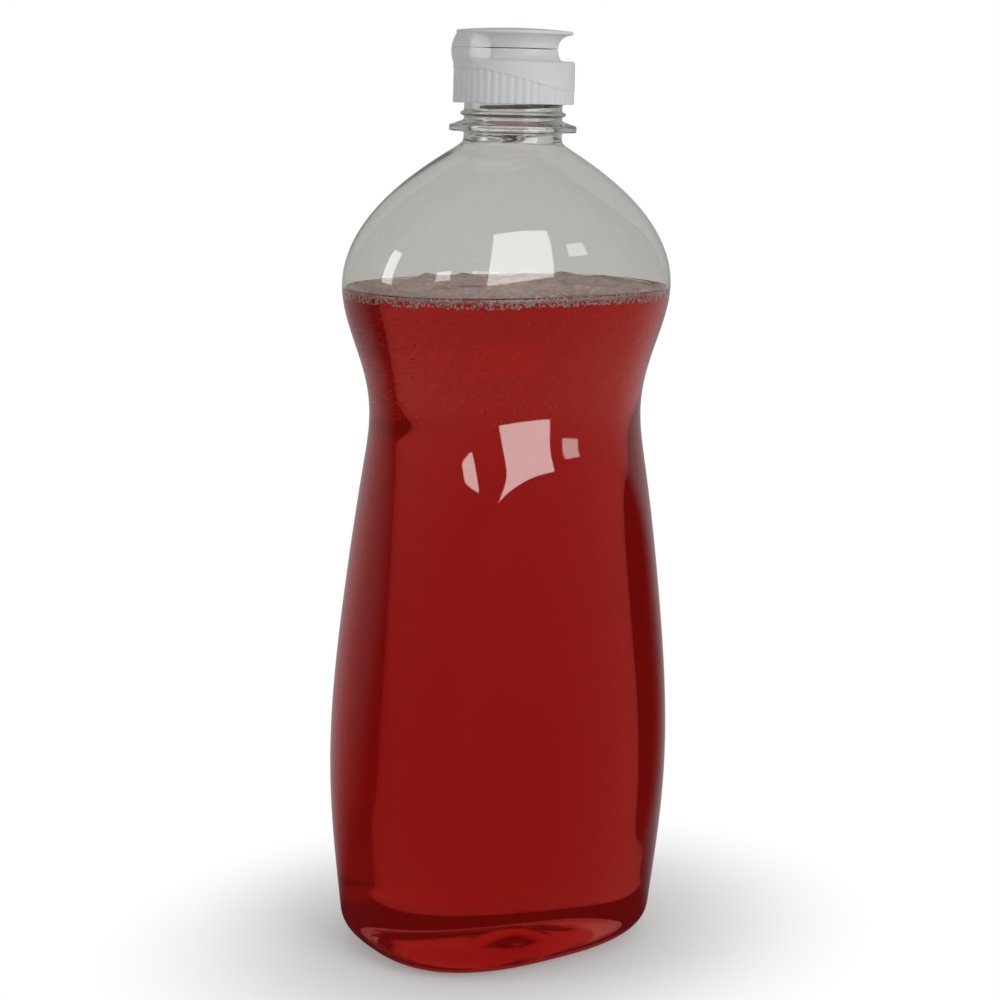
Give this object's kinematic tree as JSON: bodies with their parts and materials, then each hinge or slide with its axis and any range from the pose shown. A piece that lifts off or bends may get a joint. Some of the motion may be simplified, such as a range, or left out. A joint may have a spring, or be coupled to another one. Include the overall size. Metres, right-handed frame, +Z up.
{
  "type": "dish soap bottle",
  "caption": "Waisted oval clear bottle filled with red dish soap, with a screwed-on white flip-top closure for pouring a little at a time.",
  "frame": {"origin": "middle of the base, on the surface that the bottle stands on", "axes": "+Z up along the bottle and its neck, X along the wide side, the label panels face -Y and +Y"},
  "size_m": [0.0913, 0.0714, 0.2446],
  "materials": {
    "clear_pet": "clear blown PET, glossy, faint grey",
    "red_soap": "clear red liquid with a thin foam",
    "white_pp": "white moulded polypropylene, satin"
  },
  "bodies": {
    "bottle": {"bottle": "clear_pet", "dish_soap": "red_soap"},
    "closure": {"closure_base": "white_pp"},
    "lid": {"flip_lid": "white_pp"}
  },
  "joints": [
    {"name": "closure_lift", "type": "slide", "parent": "bottle", "child": "closure", "axis": [0, 0, 1], "range_m": [0, 0.02]},
    {"name": "lid_flip", "type": "hinge", "parent": "closure", "child": "lid", "pos_m": [-0.01474, 0.00596, 0.2394], "axis": [-0.3746, -0.9272, 0], "range_deg": [0, 160]}
  ]
}
